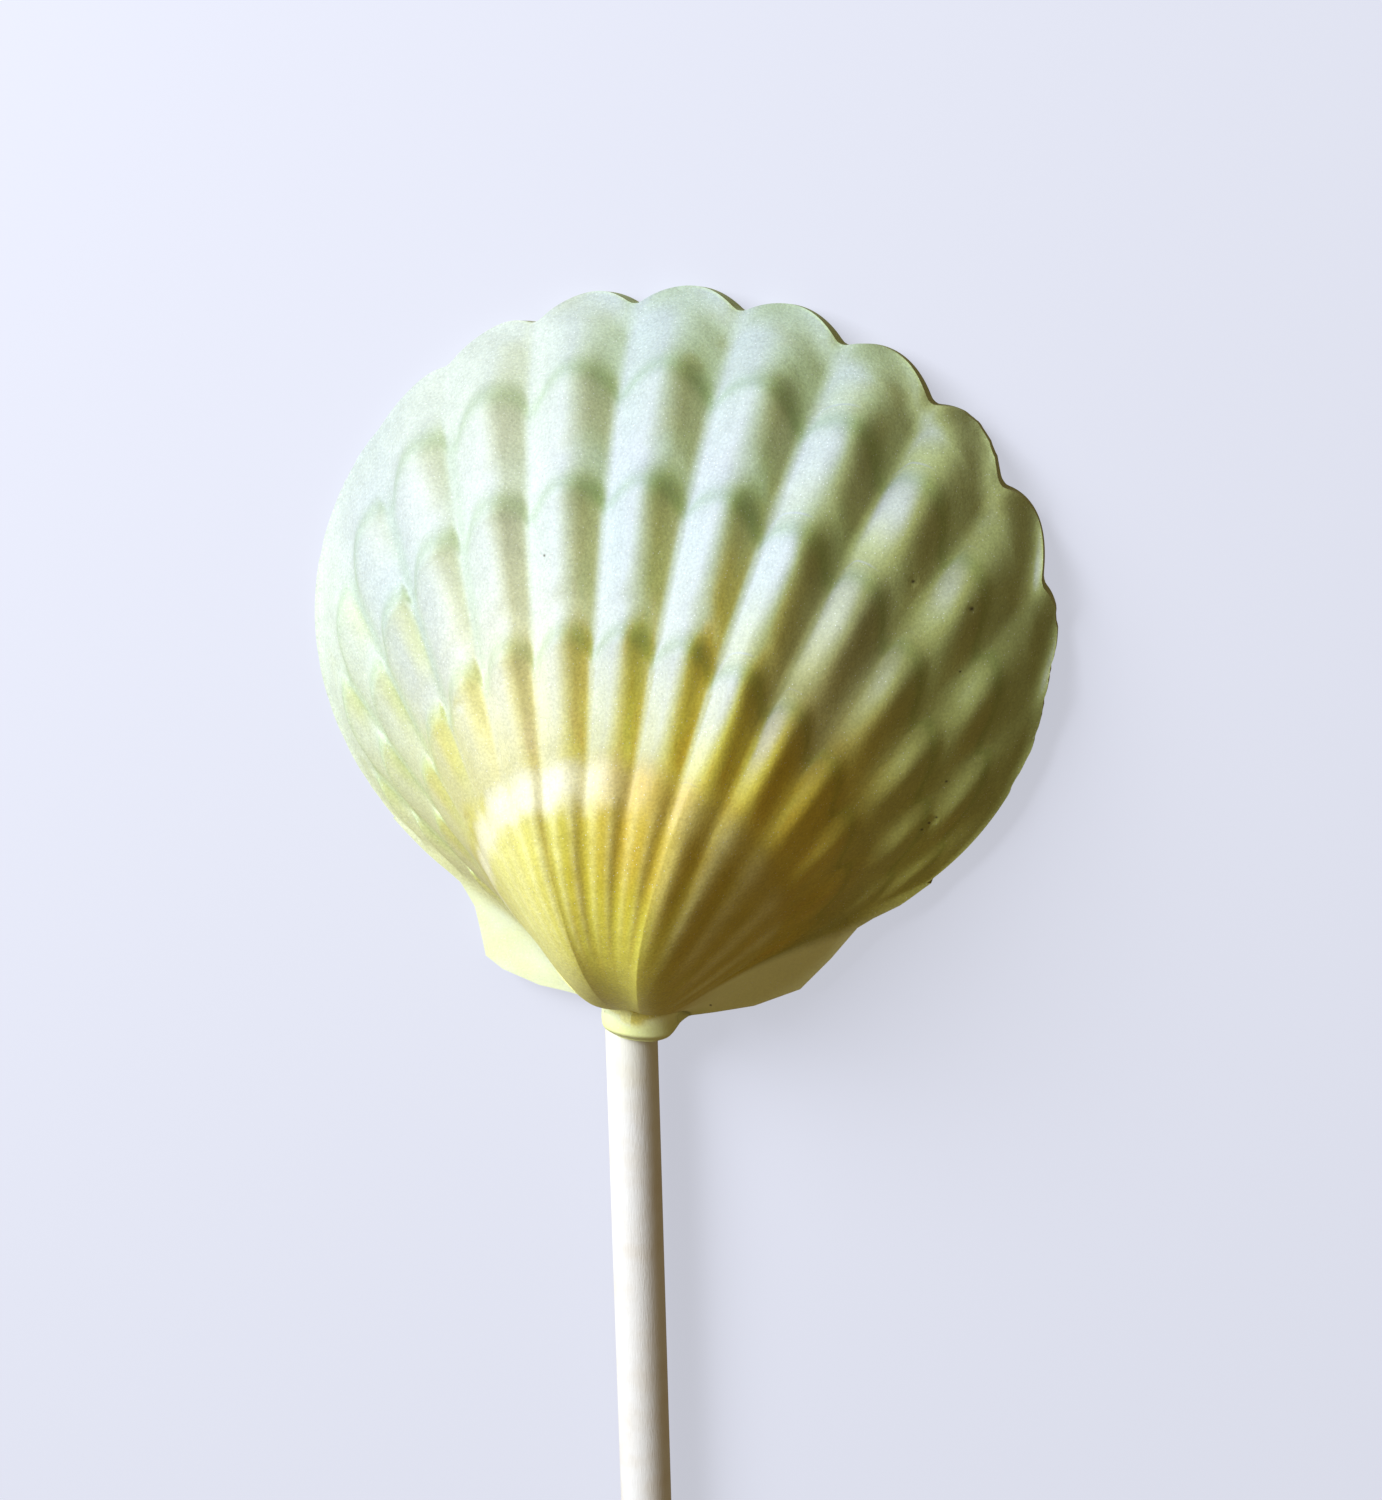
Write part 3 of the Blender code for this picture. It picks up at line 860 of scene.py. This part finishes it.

# Colours by the distance from the umbo: bare in painted shade, under pearl dust in painted light, and in the
# painted shade on the tiles' flanks.
SHADED_BARE_COLOURS = (
    (0.00, (0.80, 0.78, 0.20)),
    (0.15, (0.76, 0.71, 0.10)),
    (0.25, (0.64, 0.55, 0.05)),
    (0.33, (0.64, 0.54, 0.05)),
    (0.385, (0.85, 0.77, 0.13)),
    (0.435, (0.80, 0.76, 0.11)),
    (0.49, (0.72, 0.72, 0.11)),
    (0.55, (0.58, 0.62, 0.15)),
    (0.62, (0.46, 0.54, 0.16)),
    (0.70, (0.42, 0.54, 0.20)),
    (0.80, (0.40, 0.53, 0.23)),
    (0.885, (0.46, 0.60, 0.29)),
    (1.00, (0.56, 0.74, 0.44)),
)
LIT_DUSTED_COLOURS = (
    (0.00, (0.74, 0.75, 0.28)),
    (0.15, (0.62, 0.58, 0.09)),
    (0.25, (0.50, 0.46, 0.035)),
    (0.36, (0.48, 0.46, 0.08)),
    (0.395, (0.45, 0.45, 0.24)),
    (0.435, (0.43, 0.44, 0.26)),
    (0.49, (0.45, 0.48, 0.36)),
    (0.55, (0.42, 0.46, 0.42)),
    (0.62, (0.41, 0.46, 0.44)),
    (0.70, (0.40, 0.46, 0.46)),
    (0.80, (0.39, 0.44, 0.45)),
    (0.885, (0.37, 0.43, 0.41)),
    (1.00, (0.37, 0.44, 0.43)),
)
# Painted shade on the tiles' flanks, by the distance from the umbo.
FLANK_SHADE_COLOURS = (
    (0.20, (0.70, 0.58, 0.05)),
    (0.42, (0.74, 0.63, 0.07)),
    (0.55, (0.62, 0.53, 0.06)),
    (0.68, (0.48, 0.47, 0.13)),
    (0.85, (0.42, 0.46, 0.22)),
)
# How much amber streaks show, by the ring.
AMBER_SHARES = (
    (0.05, (0.0, 0.0, 0.0)),
    (0.18, (0.45, 0.45, 0.45)),
    (0.33, (0.6, 0.6, 0.6)),
    (0.38, (0.1, 0.1, 0.1)),
    (0.44, (0.9, 0.9, 0.9)),
    (0.54, (0.7, 0.7, 0.7)),
    (0.66, (0.15, 0.15, 0.15)),
    (1.00, (0.0, 0.0, 0.0)),
)

# Colours that are mixed before they are laid: a first one and the wash over it. They are the painted flank
# shade under pearl dust, the painted light on the left side and the painted shade on the right side.
PALE_FLANK_SHADE_WASH = Wash((0.50, 0.53, 0.24), 0.55)
PALE_LEFT = ((0.80, 0.75, 0.45), Wash((0.60, 0.63, 0.46), 1.0, (("ring", 0.5, 0.7),)))
OLIVE_RIGHT = ((0.46, 0.36, 0.05), Wash((0.40, 0.42, 0.15), 1.0, (("ring", 0.5, 0.72),)))

# Washes, in the order in which they are laid. Windows and levels start with the source that they are over.
SHADED_BARE_WASHES = (
    # Amber streaks, strongest where the surface faces away from the lamp: the chocolate's own amber and
    # painted shade
    Wash((0.72, 0.50, 0.05), 1.0, (("streak", 0.40, 0.70), ("facing", 0.8, 0.2, 0.15)), (), ("amber",)),
    # Olive clouds
    Wash((0.44, 0.46, 0.12), 0.35, (("wander", 0.48, 0.66), ("far", 0.5, 0.7))),
    # Painted shade on the shaded flank of every tile, streaky
    Wash("flank_shade_colour", 0.7, (), (("streak", 0.5, 1.3),), ("flank_shade",)),
    # Painted shade: darker right side, turned away from the lamp
    Wash((0.33, 0.36, 0.11), 0.55, (("rib", 1.0, 2.8), ("ring", 0.48, 0.60))),
)
# The same painted flank shade, paler under pearl dust
LIT_DUSTED_WASHES = (Wash("pale_flank_shade", 0.30, (("ring", 0.7, 0.5, 0.5),), (("streak", 0.5, 1.3),), ("flank_shade",)),)
WASHES = (
    # Painted light: paler left side, which faces the lamp, most where the surface turns from it; greener
    # towards the rim
    Wash(
        "pale_left",
        0.75,
        (("rib", -0.3, -1.7), ("ring", 0.38, 0.46), ("rib", -3.8, -2.6, 0.35)),
        (("dust_and_light", 1.0, 0.4),),
    ),
    # Painted light: pale green far left side, which faces the lamp; and painted shade: olive crescents on the
    # shaded flanks of its tiles
    Wash((0.64, 0.72, 0.53), 0.45, (("rib", -3.6, -5.4), ("ring", 0.38, 0.46))),
    Wash((0.42, 0.46, 0.14), 0.6, (("shifted_far", 0.78, 0.58),), (), ("crescent",)),
    # Painted light: paler left side of the cap, which faces the lamp
    Wash((0.84, 0.83, 0.34), 0.7, (("rib", -0.8, -3.5), ("ring", 0.40, 0.34))),
    # Painted shade: olive right side, turned away from the lamp, greener towards the rim
    Wash("olive_right", 0.55, (("rib", 2.0, 3.2), ("ring", 0.8, 0.6, 0.4))),
    # Amber outside the cap on the flanks that face away from the lamp: the chocolate's own tint and painted
    # shade
    Wash(
        (0.66, 0.49, 0.02),
        0.5,
        (
            ("facing", 0.45, 0.0),
            ("ring", 0.38, 0.46),
            ("ring", 0.74, 0.60),
            ("rib", 0.2, 1.4),
            ("rib", 5.2, 4.0),
        ),
        (("streak", 0.2, 1.0),),
    ),
    # Deep amber in the middle of the cap
    Wash(
        (0.50, 0.36, 0.03),
        1.0,
        (("rib", -1.0, 0.5), ("rib", 3.2, 1.4), ("ring", 0.20, 0.30), ("ring", 0.44, 0.39)),
        (("streak", 0.4, 1.3),),
    ),
    # Pale crests of the cap's fine ribs, and of its ribs on the right
    Wash((0.80, 0.79, 0.36), 1.0, (("rib", 0.2, -1.8, 0.5),), (("mottle", 0.0, 0.9),), ("fine_ribs",)),
    Wash((0.78, 0.74, 0.30), 1.0, (), (("mottle", 0.25, 0.85),), ("crest_line",)),
    # Painted shade: amber on the shaded flanks of the left tiles next to the cap
    Wash(
        (0.60, 0.56, 0.15),
        1.0,
        (("rib", -0.8, -2.2), ("ring", 0.66, 0.52)),
        (("streak", 0.15, 0.8),),
        ("flank_shade",),
    ),
    # Shade on the tiles right of the middle
    Wash(
        (0.34, 0.37, 0.20),
        0.5,
        (("rib", 1.9, 2.6), ("rib", 4.2, 3.4), ("ring", 0.50, 0.60), ("ring", 0.82, 0.70)),
    ),
    # Painted highlight: creamy lip of the cap, faint on the shaded right
    Wash(
        (0.80, 0.79, 0.64),
        0.6,
        (("lip", 0.350, 0.390), ("lip", 0.445, 0.405), ("rib", 1.0, -1.2, 1 / 12)),
    ),
    # Painted shade: green arcs inside the growth steps, and green lines in the left valleys
    Wash((0.78, 0.87, 0.72), 0.75, (), (), ("arc",), "MULTIPLY"),
)

# Ears, a little uneven, and the collar; the right ear is lighter and yellower, painted light in the shadow of
# the dome
EAR_COLOUR = (0.76, 0.82, 0.58)
EAR_WASHES = (
    Wash((0.76, 0.81, 0.47), 1.0, (("wander", 0.35, 0.7),)),
    Wash((0.90, 0.93, 0.48), 1.0, (("rib", 6.5, 8.0),)),
    Wash((0.77, 0.82, 0.36), 1.0, (("y", -27.2 * MM, -28.4 * MM),)),
)
EAR_SMOOTHNESS = 0.7

# Pearl flakes and dark specks
DOT_WASHES = (
    Wash((0.9, 0.95, 0.95), 0.45, (), (), ("flakes",)),
    Wash((0.05, 0.035, 0.02), 0.9, (), (), ("specks",)),
)

# Where pearl dust and painted light lie: on the right they keep to the outer half of each tile, as painted
# highlights, and they end before the ear.
DUST_AND_LIGHT_TO_RIGHT = (1.0, 2.8)
DUST_AND_LIGHT_ON_RIGHT = (("facing", 0.25, 0.9), ("tile", 0.05, 0.6, 0.25), ("tile", 1.0, 0.80, 0.3))
DUST_AND_LIGHT_END_RIGHT = (6.4, 5.0)

# Noises over the shell: scale, detail and, if it isn't 0.5, roughness.
NOISES = {"wander": (260, 3), "mottle": (700, 4, 0.6), "grain": (5200, 2, 0.6)}
# Noises over the grid of ribs and rings: scale over a rib, scale from umbo to rim, detail and roughness.
GRID_NOISES = {"streak": (2.6, 7.0, 5, 0.62), "growth": (0.7, 90.0, 2, 0.5)}
# How far noise moves the bounds of the colours and of the cap's lip.
FAR_WANDER = 0.08
LIP_WANDER = 0.03
# How much darker and lighter the noises make the colours, and how they vary the roughness and the height.
MOTTLE_TONES = (0.86, 1.14)
GRAIN_TONES = (0.68, 1.32)
ROUGHNESS_LEVELS = (0.50, 0.64)
MOTTLE_HEIGHT = 0.5
GROWTH_HEIGHT = 0.25
GRAIN_HEIGHT = 0.35
# Dots: scale, which cells have one, and distances from their middle where they end and where they are full.
FLAKES = (4200, 0.62, (0.24, 0.08))


def speck_mask(tree, place):
    """1 on the dark specks, seen in plan."""
    flat = vector_math(tree, "MULTIPLY", place, (1.0, 1.0, 0.0))[0]
    mask = 0.0
    for speck_x, speck_y, radius in SPECKS:
        away = vector_math(tree, "DISTANCE", flat, (speck_x * MM, speck_y * MM, 0.0))["Value"]
        mask = math_node(tree, "MAXIMUM", mask, window(tree, away, radius * MM, 0.0))
    return mask


def chocolate_sources(tree):
    """What the washes use: places on the shell, masks, noises of several sizes and mixed colours."""
    names = ["far", "ring", "rib", "tile", "facing", "ear"]
    names += ["flank_shade", "crescent", "fine_ribs", "crest_line", "arc"]
    sources = {name: attribute(tree, "shell_" + name) for name in names}
    sources["dust_and_light"] = dust_and_light_cover(tree, sources)
    rib = sources["rib"]
    ring = sources["ring"]
    place = tree.nodes.new("ShaderNodeTexCoord").outputs["Object"]
    sources["y"] = new_node(tree, "ShaderNodeSeparateXYZ", Vector=place).outputs["Y"]
    for name, detail in NOISES.items():
        sources[name] = noise(tree, place, *detail)
    for name, (per_rib, per_ring, *detail) in GRID_NOISES.items():
        grid_place = combine(tree, product(tree, rib, per_rib), product(tree, ring, per_ring))
        sources[name] = noise(tree, grid_place, 1.0, *detail)
    sources["amber"] = ramp(tree, ring, AMBER_SHARES, "EASE")
    wandering = math_node(tree, "MULTIPLY_ADD", sources["wander"], FAR_WANDER, -FAR_WANDER / 2)
    sources["shifted_far"] = math_node(tree, "ADD", sources["far"], wandering)
    sources["lip"] = math_node(tree, "MULTIPLY_ADD", sources["mottle"], LIP_WANDER, ring)
    sources["flakes"] = dots(tree, place, *FLAKES)
    sources["specks"] = speck_mask(tree, place)
    sources["flank_shade_colour"] = ramp(tree, sources["shifted_far"], FLANK_SHADE_COLOURS)
    sources["pale_flank_shade"] = lay(tree, sources, sources["flank_shade_colour"], (PALE_FLANK_SHADE_WASH,))
    for name, (first, wash) in (("pale_left", PALE_LEFT), ("olive_right", OLIVE_RIGHT)):
        sources[name] = lay(tree, sources, first, (wash,))
    return sources


def dust_and_light_cover(tree, sources):
    """How much pearl dust and painted light cover each place."""
    facing = sources["facing"]
    to_right = window(tree, sources["rib"], *DUST_AND_LIGHT_TO_RIGHT)
    on_right = [window(tree, sources[source], *limits) for source, *limits in DUST_AND_LIGHT_ON_RIGHT]
    on_right = product(tree, *on_right, to_right)
    elsewhere = product(tree, facing, level(tree, to_right, 1.0, 0.0))
    cover = math_node(tree, "ADD", on_right, elsewhere)
    return product(tree, cover, window(tree, sources["rib"], *DUST_AND_LIGHT_END_RIGHT))


def chocolate_colour(tree, sources):
    """Tinted chocolate under pearl dust, with painted light and shade, washes, grain, flakes and specks."""
    shaded_bare = lay(tree, sources, ramp(tree, sources["shifted_far"], SHADED_BARE_COLOURS), SHADED_BARE_WASHES)
    lit_dusted = lay(tree, sources, ramp(tree, sources["shifted_far"], LIT_DUSTED_COLOURS), LIT_DUSTED_WASHES)
    colour = lay(tree, sources, blend(tree, sources["dust_and_light"], shaded_bare, lit_dusted), WASHES)

    ear_colour = lay(tree, sources, EAR_COLOUR, EAR_WASHES)
    smooth = blend(tree, sources["ear"], colour, ear_colour)
    mottle_tone = level(tree, sources["mottle"], *MOTTLE_TONES)
    tone = product(tree, mottle_tone, level(tree, sources["grain"], *GRAIN_TONES))
    grainy = blend(tree, 1.0, smooth, tone, "MULTIPLY")
    colour = blend(tree, product(tree, sources["ear"], EAR_SMOOTHNESS), grainy, smooth)
    return lay(tree, sources, colour, DOT_WASHES)


def chocolate_material():
    material, tree, shader = new_material("pearl_chocolate")
    sources = chocolate_sources(tree)
    tree.links.new(chocolate_colour(tree, sources), shader.inputs["Base Color"])
    tree.links.new(level(tree, sources["grain"], *ROUGHNESS_LEVELS), shader.inputs["Roughness"])
    shader.inputs["Specular IOR Level"].default_value = 0.5
    shader.inputs["IOR"].default_value = 1.46
    shader.inputs["Subsurface Weight"].default_value = 0.04
    shader.inputs["Subsurface Radius"].default_value = (1.0, 0.8, 0.4)
    shader.inputs["Subsurface Scale"].default_value = 1.2 * MM
    height = product(tree, sources["mottle"], MOTTLE_HEIGHT)
    height = math_node(tree, "MULTIPLY_ADD", sources["growth"], GROWTH_HEIGHT, height)
    height = math_node(tree, "MULTIPLY_ADD", sources["grain"], GRAIN_HEIGHT, height)
    bump(tree, shader, height, strength=0.5)
    return material


PAPER_COLOUR = (0.78, 0.78, 0.75)
PAPER_WASHES = (
    Wash((0.74, 0.71, 0.64), 1.0, (("cloud", 0.35, 0.75),)),
    # Fat from the chocolate next to the collar
    Wash((0.74, 0.72, 0.40), 0.25, (("clouded_y", -34 * MM, -26 * MM),)),
    # Brown flecks
    Wash((0.30, 0.21, 0.10), 0.5, (), (), ("spots",)),
)
PAPER_SPOTS = (420, 0.80, (0.09, 0.03))
PAPER_FIBRES = (9000, 4, 0.65)
PAPER_CLOUDS = (420, 3, 0.55)
FIBRE_STRETCH = (1.0, 0.12, 1.0)
FIBRE_TONES = (0.93, 1.07)
FAT_WANDER = 6 * MM


def paper_material():
    """Matt white paper with fine fibres along the stick, a little fat from the chocolate and brown flecks."""
    material, tree, shader = new_material("rolled_paper")
    place = tree.nodes.new("ShaderNodeTexCoord").outputs["Object"]
    y = new_node(tree, "ShaderNodeSeparateXYZ", Vector=place).outputs["Y"]
    fibre = noise(tree, vector_math(tree, "MULTIPLY", place, FIBRE_STRETCH)[0], *PAPER_FIBRES)
    cloud = noise(tree, place, *PAPER_CLOUDS)
    sources = {
        "cloud": cloud,
        "clouded_y": math_node(tree, "MULTIPLY_ADD", cloud, FAT_WANDER, y),
        "spots": dots(tree, place, *PAPER_SPOTS),
    }
    colour = lay(tree, sources, PAPER_COLOUR, PAPER_WASHES)
    colour = blend(tree, 1.0, colour, level(tree, fibre, *FIBRE_TONES), "MULTIPLY")
    tree.links.new(colour, shader.inputs["Base Color"])
    shader.inputs["Roughness"].default_value = 0.75
    bump(tree, shader, fibre, strength=0.35)
    return material


# Floor and studio
FLOOR_HALF = 1.5
FLOOR_COLOUR = (0.20, 0.20, 0.22)
FLOOR_GLOW = (0.52, 0.54, 0.62)
KEY_PLACE = (-0.240, 0.1826, 0.2652)
KEY_TARGET = (0.004, -0.003, 0.008)
KEY_SIZE = 0.25
KEY_POWER = 3.15
KEY_COLOUR = (0.95, 1.0, 1.1)
WORLD_COLOUR = (0.20, 0.148, 0.08)

# Camera
CAMERA_LENS = 49.2
CAMERA_SENSOR = 36.0
CAMERA_CLIP_START = 0.005
CAMERA_PLACE = (0.03750, 0.02083, 0.14762)
CAMERA_RIGHT = (0.97663, -0.02504, -0.21342)
CAMERA_UP = (-0.01612, 0.98185, -0.18896)
CAMERA_BACK = (0.21428, 0.18799, 0.95851)


def floor_material():
    material, tree, shader = new_material("floor")
    shader.inputs["Base Color"].default_value = (*FLOOR_COLOUR, 1)
    shader.inputs["Roughness"].default_value = 0.9
    shader.inputs["Specular IOR Level"].default_value = 0.0
    shader.inputs["Emission Color"].default_value = (*FLOOR_GLOW, 1)
    shader.inputs["Emission Strength"].default_value = 1.0
    material.cycles.emission_sampling = "NONE"
    return material


def make_floor():
    half = FLOOR_HALF
    corners = [(-half, -half, 0), (half, -half, 0), (half, half, 0), (-half, half, 0)]
    return make_object("floor", corners, [(0, 1, 2, 3)], floor_material())


def add_key_light():
    light = bpy.data.lights.new("key", "AREA")
    light.shape = "RECTANGLE"
    light.size = KEY_SIZE
    light.size_y = KEY_SIZE
    light.energy = KEY_POWER
    light.color = KEY_COLOUR
    lamp = bpy.data.objects.new("key", light)
    bpy.context.scene.collection.objects.link(lamp)
    lamp.location = KEY_PLACE
    lamp.rotation_euler = (Vector(KEY_TARGET) - Vector(KEY_PLACE)).to_track_quat("-Z", "Y").to_euler()


def add_camera():
    data = bpy.data.cameras.new("camera")
    data.lens = CAMERA_LENS
    data.sensor_width = CAMERA_SENSOR
    data.clip_start = CAMERA_CLIP_START
    camera = bpy.data.objects.new("camera", data)
    bpy.context.scene.collection.objects.link(camera)
    matrix = Matrix((CAMERA_RIGHT, CAMERA_UP, CAMERA_BACK)).transposed().to_4x4()
    matrix.translation = CAMERA_PLACE
    camera.matrix_world = matrix
    bpy.context.scene.camera = camera


def add_world():
    world = bpy.data.worlds.new("studio")
    world.use_nodes = True
    background = world.node_tree.nodes["Background"]
    background.inputs["Color"].default_value = (*WORLD_COLOUR, 1)
    background.inputs["Strength"].default_value = 1.0
    bpy.context.scene.world = world


shell = make_shell(chocolate_material())
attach(shell, "root")
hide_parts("shell")

stick = make_stick(paper_material())
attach(stick, "root")
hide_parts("stick")

floor = make_floor()
floor.visible_diffuse = False
floor.visible_glossy = False

add_camera()
add_key_light()
add_world()
bpy.context.scene.view_settings.view_transform = "Standard"
